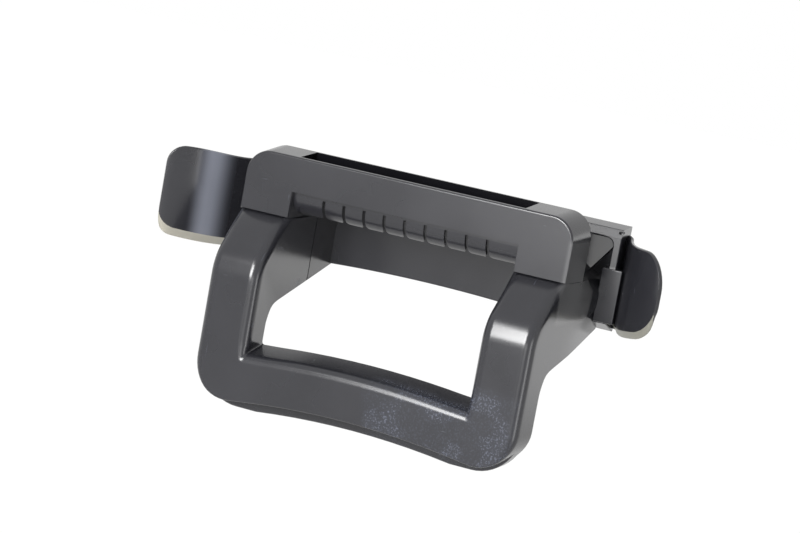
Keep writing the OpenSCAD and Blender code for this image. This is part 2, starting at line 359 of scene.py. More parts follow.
@dataclass(frozen=True)
class Flank:
    """The outer side surface that the hood, the arms and the side walls share."""

    half_width: float = 100.0
    draft: float = 0.058
    sweep_start: float = 26.0
    sweep_end: float = 50.0
    flare: float = 5.8
    flare_top: float = -49.0
    flare_low: float = -66.0
    recess: float = 11.4
    recess_rate: float = 1.6
    recess_top: float = -24.0
    recess_low: float = -42.0

    def x(self, back: float, up: float) -> float:
        """Gives the surface's distance from the middle plane.

        Args:
            back: Distance behind the hood's front face.
            up: Height over the hood's top edge.

        Returns:
            The distance in millimetres.
        """
        width = self.half_width + self.draft * min(back, self.sweep_start)
        share = max(0.0, (back - self.sweep_start) / (self.sweep_end - self.sweep_start))
        full = 1.0 - smooth_step(self.recess_low, self.recess_top, up)
        foot = smooth_step(self.flare_low, self.flare_top, up)
        swell = self.flare * min(share, 1.0) ** 2 * full * foot
        return width + swell - min(share * self.recess_rate, 1.0) * self.recess * (1.0 - full)


@dataclass(frozen=True)
class Pocket:
    """The hollow in the back of each side box, open to the back."""

    inner: float = 71.5
    outer: float = 88.2
    low: float = -56.0
    top: float = -10.0
    floor: float = 6.0
    mouth: float = 70.0
    corner: float = 3.0
    steps: int = 5

    def cut_from(self, piece: Piece) -> None:
        """Cuts the left and the right hollow out of a piece.

        Args:
            piece: A piece that reaches over both sides.
        """
        inner, outer = self.inner, self.outer
        places = ((inner, self.low), (outer, self.low), (outer, self.top), (inner, self.top))
        rings = []
        for back in (self.floor, self.mouth):
            rings.append(rounded(*(((x, back, up), self.corner, self.steps) for x, up in places)))
        Bench.cut_pair(piece, Bench.loft("tool", rings))


@dataclass
class Hood:
    """The hood: front plate with its cheeks, and the trough in its top."""

    flank: Flank
    depth: float = 26.0
    corner: float = 14.0
    face_height: float = 35.3
    foot_inset: float = 0.4
    gap_half: float = 69.25
    gap_top: float = -19.9
    rise: float = 2.5
    rim: float = 1.2
    rim_steps: int = 4
    rear_edge: float = 0.5
    trough_half: float = 69.0
    trough_front: float = 2.4
    trough_back: float = 24.2
    trough_floor: float = -16.0
    trough_clear: float = 10.0
    trough_rim: float = -1.0
    margin: float = 0.1
    steps: int = 14

    def _outline(self, back: float, inset: float) -> list[Point]:
        """Gives the hood's outline at one depth.

        Args:
            back: Distance behind the front face.
            inset: How far the outline lies inside the full one.

        Returns:
            The points, from the right foot over the top to the left one.
        """
        width = self.flank.half_width + self.flank.draft * back - inset
        top = self.rise * back / self.depth - inset
        radius = self.corner - inset
        foot = -self.face_height + min(inset, self.foot_inset)
        gap = self.gap_half + min(inset, self.foot_inset)
        right: list[Point] = [(gap, back, self.gap_top), (gap, back, foot), (width, back, foot)]
        for cos, sin in quarter(self.steps):
            right.append((width - radius + radius * cos, back, top - radius + radius * sin))
        return right + [(-x, y, z) for x, y, z in reversed(right)]

    def build(self) -> list[Piece]:
        """Builds the hood.

        Returns:
            The hood alone, in a list.
        """
        sections = []
        for cos, sin in reversed(quarter(self.rim_steps)):
            sections.append(self._outline(self.rim * (1.0 - sin), self.rim * (1.0 - cos)))
        sections.append(self._outline(self.depth / 2, 0.0))
        sections.append(self._outline(self.depth - self.rear_edge, 0.0))
        sections.append(self._outline(self.depth, self.rear_edge))
        hood = Bench.loft("hood", sections)
        low = (-self.trough_half, self.trough_front, self.trough_floor)
        high = (self.trough_half, self.trough_back, self.trough_clear)
        Bench.cut(hood, Bench.slab("tool", low, high))
        Pocket().cut_from(hood)
        Bench.finish(hood)
        self._mark_trough(hood)
        return [hood]

    def _mark_trough(self, hood: Piece) -> None:
        """Marks the trough's own faces for painted shade: a near-black material that stands in for the shade
        inside the trough.

        Args:
            hood: The finished hood.
        """
        half, margin = self.trough_half + self.margin, self.margin
        low = DATUM.place((-half, self.trough_front - margin, self.trough_floor - margin))
        high = DATUM.place((half, self.trough_back + margin, self.trough_rim))
        for face in hood.data.polygons:
            if all(a < b < c for a, b, c in zip(low, face.center, high)):
                face.material_index = Finish.SHADED.value


@dataclass
class FingerRow:
    """The row of curved fingers under the hood's front wall."""

    half_length: float = 69.2
    slots: int = 9
    pitch: float = 12.6
    slot: float = 1.9
    thickness: float = 2.0
    top: float = -20.2
    root_lap: float = 1.0
    slot_top: float = -21.6
    front: float = 3.4
    drop: float = 1.6
    radius: float = 11.0
    turn: float = 68.0
    tip: float = 0.5
    corner: float = 2.4
    corner_shape: tuple[Pair, ...] = ((0.0, 1.0), (0.4, 0.45), (1.2, 0.0))
    steps: int = 8

    def _profile(self, shorten: float) -> list[Pair]:
        """Gives the closed section of a finger.

        Args:
            shorten: How much of its curve is left off at the free edge.

        Returns:
            Pairs of back and up.
        """
        low = self.top - self.drop
        middle = self.front + self.radius
        turn = math.radians(self.turn) - shorten / self.radius
        outer: list[Pair] = [(self.front, self.slot_top)]
        inner: list[Pair] = [(self.front + self.thickness, self.slot_top)]
        for step in range(self.steps + 1):
            angle = turn * step / self.steps
            for side, radius in ((outer, self.radius), (inner, self.radius - self.thickness)):
                side.append((middle - radius * math.cos(angle), low - radius * math.sin(angle)))
        tip = ((outer[-1][0] + inner[-1][0]) / 2, (outer[-1][1] + inner[-1][1]) / 2 - self.tip)
        return outer + [tip] + inner[::-1]

    def _strip(self, name: str, left: Pair, right: Pair) -> Piece:
        """Builds one finger between two places along the row.

        Args:
            name: Name of the piece.
            left: The place of its left end, and how far the corner is cut there.
            right: The same of its right end.

        Returns:
            The finger.
        """
        places = [(left[0] + at, left[1] * cut) for at, cut in self.corner_shape]
        places += [(right[0] - at, right[1] * cut) for at, cut in reversed(self.corner_shape)]
        sections = [[(x, y, z) for y, z in self._profile(shorten)] for x, shorten in places]
        return Bench.loft(name, sections)

    def build(self) -> list[Piece]:
        """Builds the strip above the slots and the fingers below it.

        Returns:
            The row as one piece, in a list.
        """
        middles = [(index - (self.slots - 1) / 2) * self.pitch for index in range(self.slots)]
        edges = [(middle + side * self.slot / 2, self.corner) for middle in middles for side in (-1, 1)]
        edges = [(-self.half_length, 0.0)] + edges + [(self.half_length, 0.0)]
        pieces = []
        for index, (left, right) in enumerate(zip(edges[::2], edges[1::2])):
            pieces.append(self._strip(f"finger_{index}", left, right))
        low = (-self.half_length, self.front, self.slot_top)
        high = (self.half_length, self.front + self.thickness, self.top + self.root_lap)
        pieces.append(Bench.slab("finger_root", low, high))
        row = Bench.weld("finger_row", pieces)
        Bench.finish(row)
        return [row]


@dataclass
class GripLoop:
    """The two arms with the side walls behind them, and the arched grip bar between."""

    flank: Flank
    inner_half: float = 68.7
    inner_front_draft: float = 0.06
    inner_rear_draft: float = 0.038
    start_up: float = -35.3
    start_angle: float = 25.0
    slope_angle: float = 45.0
    bend_1: float = 45.0
    slope: float = 13.0
    bend_2: float = 24.6
    start_steps: int = 4
    bend_steps: int = 8
    front: float = -29.3
    rear: float = -5.6
    root_back: float = 65.8
    wall_start: float = 4.0
    wall_end: float = 5.0
    wall_steps: int = 6
    wall_low_rear: float = -65.9
    wall_low_front: float = -84.3
    armpit: tuple[Pair, ...] = ((1.8, -85.2), (-0.8, -86.6), (-2.9, -89.0), (-4.4, -92.4))
    arm_ends: tuple[Point, ...] = ((6.0, -94.6, -5.1), (14.0, -97.0, -5.6), (24.0, -100.5, -5.6))
    loop_inner_up: float = -104.0
    loop_outer_up: float = -110.0
    fillet: float = 6.0
    fillet_room: float = 8.0
    fillet_steps: int = 8
    fillet_rear: float = 1.0
    bar_edge: float = 1.1
    shares: tuple[float, ...] = (0.0, 0.2, 0.35, 0.5, 0.62, 0.74, 0.87)
    turn_rows: Pair = (-0.5, 4.0)
    sharpen: Pair = (0.0, 0.75)
    tilt: float = 0.8
    corner: float = 22.0
    corner_x: float = 76.3
    corner_up: float = -118.2
    corner_steps: int = 12
    bar_low: float = -134.4
    bar_arch: float = 0.00104
    bar_inner: tuple[float, ...] = (56.0, 46.0, 36.0, 24.0, 12.0, 0.0)
    bar_outer: tuple[float, ...] = (64.0, 50.0, 37.0, 24.0, 12.0, 0.0)
    inner_corner: float = 1.6
    bar_top_rear: float = -104.1
    bar_top_front: float = -108.8
    bar_top_fall: float = 3.2
    bar_top_reach: float = 60.0
    bar_end_drop: float = 3.6
    lip_drop: float = 6.3
    lip_front: float = -19.0
    lip_rear: float = -7.0
    lip_deep: float = 9.0
    lip_edge: float = 1.6
    lip_steps: int = 4
    lip_radius: float = 25.0
    lip_corner: Pair = (72.7, -119.4)
    lip_ends: tuple[Pair, ...] = ((0.6, -106.0), (0.0, -112.0))
    lip_rows: tuple[float, ...] = (60.0, 48.0, 36.0, 24.0, 12.0, 0.0)
    groove_low: Point = (60.0, 36.0, -90.0)
    groove_high: Point = (67.9, 36.9, -36.0)

    def _front_path(self) -> list[Row]:
        """Gives the arm's front line from the hood down to the vertical stretch.

        Returns:
            For each row its back, its up and the slope of the line in degrees.
        """
        rows: list[Row] = []
        start, slope = math.radians(self.start_angle), math.radians(self.slope_angle)
        for step in range(self.start_steps + 1):
            angle = mix(start, slope, step / self.start_steps)
            back = self.bend_1 * (math.sin(start) - math.sin(angle))
            up = self.start_up - self.bend_1 * (math.cos(start) - math.cos(angle))
            rows.append((back, up, math.degrees(angle)))
        run, fall = self.slope * math.cos(slope), self.slope * math.sin(slope)
        rows.append((back - run / 2, up - fall / 2, self.slope_angle))
        middle, centre = self.front + self.bend_2, up - fall - self.bend_2 * math.cos(slope)
        for step in range(self.bend_steps + 1):
            angle = mix(slope, math.pi / 2, step / self.bend_steps)
            back, up = middle - self.bend_2 * math.sin(angle), centre + self.bend_2 * math.cos(angle)
            rows.append((back, up, math.degrees(angle)))
        return rows

    def _rear_path(self) -> list[Pair]:
        """Gives the rear ends of the rows: down the root, then along the side wall's lower edge.

        Returns:
            Pairs of back and up.
        """
        root = []
        for step in range(self.start_steps + 1):
            up = mix(self.start_up, self.wall_low_rear, step / self.start_steps)
            root.append((self.root_back, up))
        lower = []
        for step in range(1, self.wall_steps + 1):
            back = mix(self.root_back, self.wall_end, step / self.wall_steps)
            share = (back - self.wall_start) / (self.root_back - self.wall_start)
            lower.append((back, mix(self.wall_low_front, self.wall_low_rear, share)))
        return root + lower + list(self.armpit)

    def _arm_section(self, row: Row, rear: Pair, ease: float) -> list[Point]:
        """Gives one closed section through an arm and the side wall behind it.

        Args:
            row: Back, up and slope of the front line.
            rear: Back and up of the section's rear end.
            ease: 0 where the section starts level, 1 where it stands square to the front line.

        Returns:
            The section's points.
        """
        back, up, slope = row
        angle = math.radians(slope - RIGHT_ANGLE) * ease
        deep = (back + self.fillet_room * math.cos(angle), up + self.fillet_room * math.sin(angle))
        places = [(mix(deep[0], rear[0], share), mix(deep[1], rear[1], share)) for share in self.shares]
        return rounded(
            (self._inner(rear[0], rear[1] + self.tilt), self.fillet_rear, EDGE_STEPS),
            self._inner(*deep),
            (self._inner(back, up), self.fillet, self.fillet_steps),
            (self._outer(back, up), self.fillet, self.fillet_steps),
            *(self._outer(*place) for place in places),
            (self._outer(*rear), self.fillet_rear, EDGE_STEPS),
        )

    def _outer(self, back: float, up: float) -> Point:
        """Returns the point of the outer side at a distance behind the hood's face and a height."""
        return (self.flank.x(back, up), back, up)

    def _inner(self, back: float, up: float) -> Point:
        """Gives a point of the inner wall, which is widest at the loop's rear.

        Args:
            back: Distance behind the hood's front face.
            up: Height over the hood's top edge.

        Returns:
            The point.
        """
        behind = back - self.rear
        slope = -self.inner_rear_draft if behind > 0.0 else self.inner_front_draft
        return (self.inner_half + slope * behind, back, up)

    def _loop_section(self, inner: Pair, outer: Pair, sharp: float) -> list[Point]:
        """Gives one closed section through the lower loop.

        Args:
            inner: x and up of the inner contour at its rear.
            outer: x and up of the outer contour at its front.
            sharp: 0 on the arm, 1 on the bar, where the outer front edge is nearly sharp.

        Returns:
            The section's points.
        """
        depth = self.rear - self.front
        fall = (self.bar_top_front - self.bar_top_rear) * sharp
        spread = self.flank.draft * depth * (1.0 - sharp)
        shift = self.inner_front_draft * depth * (1.0 - sharp)
        inner_rear = (inner[0], self.rear, inner[1])
        inner_front = (inner[0] - shift, self.front, inner[1] + fall)
        outer_front = (outer[0], self.front, outer[1])
        outer_rear = (outer[0] + spread, self.rear, outer[1])
        start = self.fillet_room / depth
        return rounded(
            (inner_rear, self.fillet_rear, EDGE_STEPS),
            mix_points(inner_front, inner_rear, start),
            (inner_front, self.fillet, self.fillet_steps),
            (outer_front, mix(self.fillet, self.bar_edge, sharp), self.fillet_steps),
            *(mix_points(outer_front, outer_rear, mix(start, 1.0, share)) for share in self.shares),
            (outer_rear, self.fillet_rear, EDGE_STEPS),
        )

    def _bar_bottom(self, x: float, drop: float) -> float:
        """Returns the height of the bar's arched lower line at a distance from the middle."""
        return self.bar_low - drop - self.bar_arch * x * x

    def build(self) -> list[Piece]:
        """Builds the loop from its right half, and the lip under the bar.

        Returns:
            The loop and the lip.
        """
        front = self._front_path()
        sections = []
        for index, (row, rear) in enumerate(zip(front, self._rear_path())):
            sections.append(self._arm_section(row, rear, smooth_step(*self.turn_rows, index)))
        for drop, rear_up, rear_back in self.arm_ends:
            row = (self.front, front[-1][1] - drop, RIGHT_ANGLE)
            sections.append(self._arm_section(row, (rear_back, rear_up), 1.0))
        outer = (self.corner_x + self.corner, self.loop_outer_up)
        sections.append(self._loop_section((self.inner_half, self.loop_inner_up), outer, 0.0))
        inner_low, size = self.bar_top_rear - self.bar_end_drop, self.inner_corner
        for step, (cos, sin) in enumerate(quarter(self.corner_steps)):
            inner = (self.inner_half - size + size * cos, inner_low + size - size * sin)
            outer = (self.corner_x + self.corner * cos, self.corner_up - self.corner * sin)
            sharp = smooth_step(*self.sharpen, step / self.corner_steps)
            sections.append(self._loop_section(inner, outer, sharp))
        for inner_at, outer_at in zip(self.bar_inner, self.bar_outer):
            top = self.bar_top_rear - self.bar_top_fall * (inner_at / self.bar_top_reach) ** 2
            outer = (outer_at, self._bar_bottom(outer_at, 0.0))
            sections.append(self._loop_section((inner_at, top), outer, 1.0))
        loop = Bench.loft("grip_loop", sections)
        Bench.twin(loop, join=True)
        Pocket().cut_from(loop)
        Bench.cut_pair(loop, Bench.slab("tool", self.groove_low, self.groove_high))
        Bench.finish(loop)
        return [loop, self._build_lip()]

    def _lip_section(self, outer: Pair, inward: Pair) -> list[Point]:
        """Gives one closed section through the lip.

        Args:
            outer: x and up of the lip's outer line.
            inward: Direction from there into the loop, in x and up.

        Returns:
            The section's points.
        """
        deep = (outer[0] + self.lip_deep * inward[0], outer[1] + self.lip_deep * inward[1])
        return rounded(
            (deep[0], self.lip_front, deep[1]),
            ((outer[0], self.lip_front, outer[1]), self.lip_edge, self.lip_steps),
            ((outer[0], self.lip_rear, outer[1]), self.lip_edge, self.lip_steps),
            (deep[0], self.lip_rear, deep[1]),
        )

    def _build_lip(self) -> Piece:
        """Builds the lip that runs under the bar and up round both corners.

        Returns:
            The lip.
        """
        x, up = self.lip_corner
        sections = []
        for out, height in self.lip_ends:
            sections.append(self._lip_section((x + self.lip_radius + out, height), (-1.0, 0.0)))
        for cos, sin in quarter(self.corner_steps):
            outer = (x + self.lip_radius * cos, up - self.lip_radius * sin)
            sections.append(self._lip_section(outer, (-cos, sin)))
        for at in self.lip_rows:
            sections.append(self._lip_section((at, self._bar_bottom(at, self.lip_drop)), (0.0, 1.0)))
        lip = Bench.loft("grip_lip", sections)
        Bench.twin(lip, join=True)
        Bench.finish(lip)
        return lip


@dataclass
class Shoulder:
    """The side box between the hood and the rear frame, with its scooped flank."""

    flank: Flank
    inner: float = 66.0
    front: float = 25.6
    back: float = 65.8
    top: float = -7.0
    low: float = -35.3
    rows: int = 14
    columns: int = 12

    def build(self) -> list[Piece]:
        """Builds the right shoulder and its twin.

        Returns:
            Both shoulders as one piece, in a list.
        """
        sections = []
        for row in range(self.rows + 1):
            up = mix(self.top, self.low, row / self.rows)
            ring: list[Point] = [(self.inner, self.back, up), (self.inner, self.front, up)]
            for column in range(self.columns + 1):
                back = mix(self.front, self.back, column / self.columns)
                ring.append((self.flank.x(back, up), back, up))
            sections.append(ring)
        shoulder = Bench.loft("shoulders", sections)
        Bench.twin(shoulder)
        Pocket().cut_from(shoulder)
        Bench.finish(shoulder)
        return [shoulder]


@dataclass
class RearFrame:
    """The rear frame with its blind windows, the back wall and the roof over the hand space."""

    half_width: float = 111.4
    bar: float = 4.2
    top: float = -5.6
    top_rise: float = 1.6
    top_bar: float = 5.6
    cap: float = -10.2
    lap: float = 0.1
    post_lap: float = 1.0
    foot: float = -59.4
    foot_lip: float = 1.4
    foot_slope: float = 3.0
    foot_step: float = 0.3
    low: float = -65.0
    front: float = 50.0
    back: float = 66.0
    window_corner: float = 4.5
    window_steps: int = 8
    window_back: float = 58.0
    wedge_deep: float = 5.8
    wedge_low: float = -40.0
    wedge_high: float = -13.6
    wedge_rise: float = 1.0
    plate_edge: float = 0.4
    face_turn: float = 0.45
    face_tilt: float = 1.9
    box_side: float = 88.9
    wall_front: float = 63.5
    wall_low: float = -62.6
    wall_arch: float = 2.2
    wall_edge: float = 0.8
    wall_lap: float = 4.0
    wall_steps: int = 24
    inner: float = 66.0
    roof: float = -7.0
    roof_front: float = 24.0
    roof_back: float = 65.8
    roof_thick: float = 3.0
    roof_edge: float = 0.4
    edge: float = 0.5
    edge_steps: int = 2
    notch_low: Point = (108.8, 49.0, -8.2)
    notch_high: Point = (112.4, 54.0, -6.6)

    def _post(self) -> Piece:
        """Builds the right side of the frame: the post with the end of the top bar over the window.

        Returns:
            The side.
        """
        inner, outer, top = self.half_width - self.bar, self.half_width, self.top - self.top_bar
        rings = []
        end = self.window_back + self.post_lap
        for back, inset in ((self.front, self.edge), (self.front + self.edge, 0.0), (end, 0.0)):
            turned = back + (self.face_turn if back < self.window_back else 0.0)
            rings.append(
                rounded(
                    (self.box_side, back, self.cap),
                    (outer - inset, turned, self.cap),
                    (outer - inset, turned, self.foot),
                    (inner + inset, back, self.foot),
                    ((inner + inset, back, top + inset), self.window_corner, self.window_steps),
                    (self.box_side, back, top + inset),
                )
            )
        return Bench.loft("frame_posts", rings)

    def _plate(self) -> Piece:
        """Builds the plate behind the window, down to the slanted foot.

        Returns:
            The plate.
        """
        sections = []
        rows = (
            (self.box_side, self.window_back - self.wedge_deep, self.wedge_low, 0.0),
            (self.half_width - self.bar, self.window_back, self.wedge_high, 0.0),
            (self.half_width - self.plate_edge, self.window_back, self.wedge_high, 0.0),
            (self.half_width, self.window_back, self.wedge_high, self.plate_edge),
        )
        for x, front, low, inset in rows:
            sections.append(
                [
                    (x, front, self.cap),
                    (x, self.back, self.cap),
                    (x, self.back, self.low + inset),
                    (x, self.front + self.foot_step, self.foot + inset),
                    (x, self.front + self.foot_step, self.foot + self.foot_lip - inset),
                    (x, self.window_back, self.foot + self.foot_slope - inset),
                    (x, self.window_back, low - self.wedge_rise),
                    (x, front, low),
                ]
            )
        return Bench.loft("frame_plates", sections)

    def _wall(self) -> Piece:
        """Builds the back wall with its arched lower edge.

        Returns:
            The wall.
        """
        sections = []
        reach = self.inner + self.wall_lap
        for index in range(self.wall_steps + 1):
            x = mix(-reach, reach, index / self.wall_steps)
            low = self.wall_low - self.wall_arch * (x / self.inner) ** 2
            sections.append(
                rounded(
                    (x, self.wall_front, self.cap),
                    (x, self.back, self.cap),
                    ((x, self.back, low), self.wall_edge, EDGE_STEPS),
                    ((x, self.wall_front, low), self.wall_edge, EDGE_STEPS),
                )
            )
        return Bench.loft("back_wall", sections)

    def _top(self) -> Piece:
        """Builds the bar that runs along the top from side to side.

        Returns:
            The bar.
        """
        sections = []
        for x in (-self.half_width, self.half_width):
            sections.append(
                rounded(
                    ((x, self.front + self.face_tilt, self.top), self.edge, self.edge_steps),
                    ((x, self.back, self.top + self.top_rise), self.edge, self.edge_steps),
                    (x, self.back, self.cap - self.lap),
                    (x, self.front, self.cap - self.lap),
                )
            )
        bar = Bench.loft("top_bar", sections)
        Bench.cut_pair(bar, Bench.slab("tool", self.notch_low, self.notch_high))
        return bar

    def build(self) -> list[Piece]:
        """Builds the frame's posts and plates, its top bar, its wall and its roof.

        Returns:
            The finished pieces.
        """
        bar = self._top()
        pieces = [self._post(), self._plate()]
        for piece in pieces:
            Bench.twin(piece)
        reach = self.inner + self.wall_lap
        low, high = (-reach, self.roof_front, self.roof - self.roof_thick), (reach, self.roof_back, self.roof)
        pieces += [bar, self._wall(), Bench.slab("roof", low, high, self.roof_edge)]
        for piece in pieces:
            Bench.finish(piece)
        return pieces


@dataclass
class SidePad:
    """The flat pad over the wing's root on each side of the rear frame."""

    low: Point = (104.5, 46.0, -58.3)
    high: Point = (116.6, 54.0, -27.6)
    rounding: float = 0.7

    def build(self) -> list[Piece]:
        """Builds the pad and its twin.

        Returns:
            Both pads as one piece, in a list.
        """
        pad = Bench.slab("side_pads", self.low, self.high, self.rounding)
        Bench.twin(pad)
        Bench.finish(pad)
        return [pad]


@dataclass
class Wing:
    """One curved wing: a tight bend at its root, then a long sweep that flares out to the tip."""

    side: Side
    low_root: float = -61.2
    low_rise: float = 5.0
    low_power: float = 2.2
    root_x: float = 108.5
    root_back: float = 64.6
    root_lap: float = 1.5
    headings: tuple[Pair, ...] = ((0.0, 15.0), (2.0, 15.0), (7.5, 72.0), (38.0, 63.0), (78.0, 33.0))
    thickness: float = 2.5
    top_root: float = -8.6
    top_dip: float = -12.0
    top_tip: float = -9.0
    top_fall: Pair = (0.0, 12.0)
    top_rise: Pair = (22.0, 66.0)
    edge: float = 0.9
    corner: float = 11.0
    corner_drop: float = 10.5
    foot: float = 10.0
    foot_rise: float = 8.5
    sole: float = 5.8
    sole_out: float = 7.0
    sole_end: float = 4.0
    sole_least: float = 0.08
    sole_edge: float = 0.5
    sole_back: float = 2.2
    sole_lip: float = 0.1
    face_edge: float = 0.35
    front_shares: Pair = (0.4, 0.8)
    rear_share: float = 0.5
    rear_lift: float = 1.2
    back_limit: float = 65.9
    step: float = 2.0
    tip_steps: int = 10
    smooth_angle: float = 40.0
    sole_facing: float = -0.25
    sole_from: float = 112.0
    # painted reflection given to the sole's downward faces
    sole_painted_reflection: Finish = Finish.PAINTED_BRIGHT_SOLE

    def _heading(self, length: float) -> float:
        """Gives the path's heading, from sideways (0) to straight forward (90).

        Args:
            length: Place on the path.

        Returns:
            The heading in radians.
        """
        for (start, first), (stop, last) in zip(self.headings, self.headings[1:]):
            if length <= stop:
                share = max(0.0, (length - start) / (stop - start))
                return math.radians(mix(first, last, share))
        return math.radians(self.headings[-1][1])

    def _path(self) -> list[tuple[float, float, float, float]]:
        """Gives the wing's plan as stations along its length, closer together at the tip.

        Returns:
            For each station its distance along the path, its x, its back and its heading.
        """
        total = self.headings[-1][0]
        reach = max(self.corner, self.foot)
        count = round((total - reach) / self.step)
        lengths = [(total - reach) * index / count for index in range(count)]
        lengths += [total - reach + reach * sin for _, sin in quarter(self.tip_steps)]
        x, back, last = self.root_x, self.root_back, 0.0
        stations = [(-self.root_lap, x - self.root_lap, back, self._heading(0.0))]
        for length in lengths:
            heading = self._heading((length + last) / 2.0)
            x += (length - last) * math.cos(heading)
            back -= (length - last) * math.sin(heading)
            last = length
            stations.append((length, x, back, self._heading(length)))
        return stations

    def build(self) -> list[Piece]:
        """Builds the wing and marks its sole for painted reflection, a lighter colour that stands in for the
        floor's light reflected there.

        Returns:
            The wing, in a list.
        """
        stations = self._path()
        total = stations[-1][0]
        sections = []
        for length, x, back, heading in stations:
            top = mix(self.top_root, self.top_dip, smooth_step(*self.top_fall, length))
            top += (self.top_tip - self.top_dip) * smooth_step(*self.top_rise, length)
            top -= self.corner_drop * (1.0 - self._round_off(length, total, self.corner))
            low = self.low_root + self.low_rise * (max(0.0, length) / total) ** self.low_power
            low += self.foot_rise * (1.0 - self._round_off(length, total, self.foot))
            sole = max(self.sole_least, self._round_off(length, total, self.sole_end))
            normal = (math.sin(heading) * self.side.value, math.cos(heading))
            sections.append(self._section((x * self.side.value, back), normal, top, low, sole))
        wing = Bench.loft(f"wing_{self.side.name.lower()}", sections)
        Bench.finish(wing, self.smooth_angle)
        # The sole faces get a lighter colour: a painted reflection of the floor.
        for face in wing.data.polygons:
            if face.normal.z < self.sole_facing and face.center.x * self.side.value > self.sole_from * MM:
                face.material_index = self.sole_painted_reflection.value
        return [wing]

    @staticmethod
    def _round_off(length: float, total: float, reach: float) -> float:
        """Gives the height of a quarter circle over the last stretch of the path.

        Args:
            length: Place on the path.
            total: Length of the path.
            reach: Length of the stretch that is rounded.

        Returns:
            1 before that stretch, falling to 0 at the tip.
        """
        near = min(1.0, max(0.0, length - (total - reach)) / reach)
        return math.sqrt(max(0.0, 1.0 - near * near))

    def _section(self, spot: Pair, normal: Pair, top: float, low: float, fade: float) -> list[Point]:
        """Gives one upright section of the wing.

        Args:
            spot: Place of the section on the path, in x and back.
            normal: Direction of the wing's rear face, in x and back.
            top: Height of its upper edge.
            low: Height of the front face's lower edge, where the sole begins.
            fade: Share of the sole's full size.

        Returns:
            The section's points.
        """
        half = self.thickness / 2.0
        out, drop = self.sole_out * fade - half, low - self.sole * fade

        def at(offset: float, up: float) -> Point:
            """Returns the point at an offset from the path and a height."""
            return (spot[0] + normal[0] * offset, min(spot[1] + normal[1] * offset, self.back_limit), up)

        return rounded(
            (at(-half, top), self.edge, EDGE_STEPS),
            *(at(-half, mix(top, low, share)) for share in self.front_shares),
            (at(-half, low), self.face_edge, EDGE_STEPS),
            (at(out, drop), self.sole_edge, EDGE_STEPS),
            (at(out + self.sole_lip, drop + self.sole_back * fade), self.sole_edge, EDGE_STEPS),
            (at(half, low + self.rear_lift), self.sole_edge, EDGE_STEPS),
            at(half, mix(top, low, self.rear_share)),
            (at(half, top), self.edge, EDGE_STEPS),
        )


class Signal:
    """One output of a shader node, with the arithmetic that adds Math nodes."""

    def __init__(self, graph: "Graph", socket: bpy.types.NodeSocket) -> None:
        """Keeps the graph and the socket."""
        self.graph = graph
        self.socket = socket

    def _math(self, operation: str, first: object, second: object) -> "Signal":
        """Adds one Math node.

        Args:
            operation: Its operation.
            first: Its first value or link.
            second: Its second value or link.

        Returns:
            The node's output.
        """
        return self.graph.add("ShaderNodeMath", {"operation": operation}, {0: first, 1: second})

    def __add__(self, other: object) -> "Signal":
        """Returns self + other."""
        return self._math("ADD", self, other)

    def __radd__(self, other: object) -> "Signal":
        """Returns other + self."""
        return self._math("ADD", other, self)

    def __sub__(self, other: object) -> "Signal":
        """Returns self - other."""
        return self._math("SUBTRACT", self, other)

    def __rsub__(self, other: object) -> "Signal":
        """Returns other - self."""
        return self._math("SUBTRACT", other, self)

    def __mul__(self, other: object) -> "Signal":
        """Returns self * other."""
        return self._math("MULTIPLY", self, other)

    def __rmul__(self, other: object) -> "Signal":
        """Returns other * self."""
        return self._math("MULTIPLY", other, self)

    def __truediv__(self, other: object) -> "Signal":
        """Returns self / other."""
        return self._math("DIVIDE", self, other)

    def __rtruediv__(self, other: object) -> "Signal":
        """Returns other / self."""
        return self._math("DIVIDE", other, self)

    def top(self, other: object) -> "Signal":
        """Returns the larger of the two."""
        return self._math("MAXIMUM", self, other)


class Graph:
    """The node graph of a material or of the world."""

    def __init__(self, owner: bpy.types.Material | bpy.types.World) -> None:
        """Empties the owner's node tree, ready for new nodes."""
        owner.use_nodes = True
        self.tree = owner.node_tree
        self.tree.nodes.clear()

    def add(
        self, kind: str, settings: dict | None = None, values: dict | None = None, out: object = 0
    ) -> Signal:
        """Adds a node.

        Args:
            kind: The node's type.
            settings: Its properties, set before its sockets.
            values: A value or a Signal for each socket, by name or number.
            out: Name or number of the output that is returned.

        Returns:
            The chosen output.
        """
        node = self.tree.nodes.new(kind)
        for name, value in (settings or {}).items():
            setattr(node, name, value)
        for name, value in (values or {}).items():
            if isinstance(value, Signal):
                self.tree.links.new(value.socket, node.inputs[name])
            else:
                node.inputs[name].default_value = value
        return Signal(self, node.outputs[out] if node.outputs else None)

    def split(self, place: Signal) -> list[Signal]:
        """Returns the x, y and z of a vector, each as one Signal."""
        node = self.add("ShaderNodeSeparateXYZ", {}, {0: place}).socket.node
        return [Signal(self, socket) for socket in node.outputs]

    def ease(self, value: Signal, low: float, high: float) -> Signal:
        """Returns a Signal that eases from 0 at low to 1 at high."""
        settings = {"interpolation_type": "SMOOTHSTEP", "clamp": True}
        return self.add("ShaderNodeMapRange", settings, {"Value": value, "From Min": low, "From Max": high})


@dataclass(frozen=True)
class Patch:
    """A soft-edged box on the drawing, in millimetres, in which a surface looks different."""

    low: Point
    high: Point
    soft: float

    def mask(self, graph: Graph, axes: list[Signal]) -> Signal:
        """Gives how far a place lies inside the box.

        Args:
            graph: The material's graph.
            axes: Object coordinates, each as one Signal.

        Returns:
            1 inside, falling to 0 over the soft edge.
        """
        low, high = DATUM.place(self.low), DATUM.place(self.high)
        reach = self.soft * MM
        inside = None
        for axis, start, stop in zip(axes, low, high):
            part = graph.ease(axis, start - reach, start) * graph.ease(-1.0 * axis, -stop - reach, -stop)
            inside = part if inside is None else inside * part
        return inside


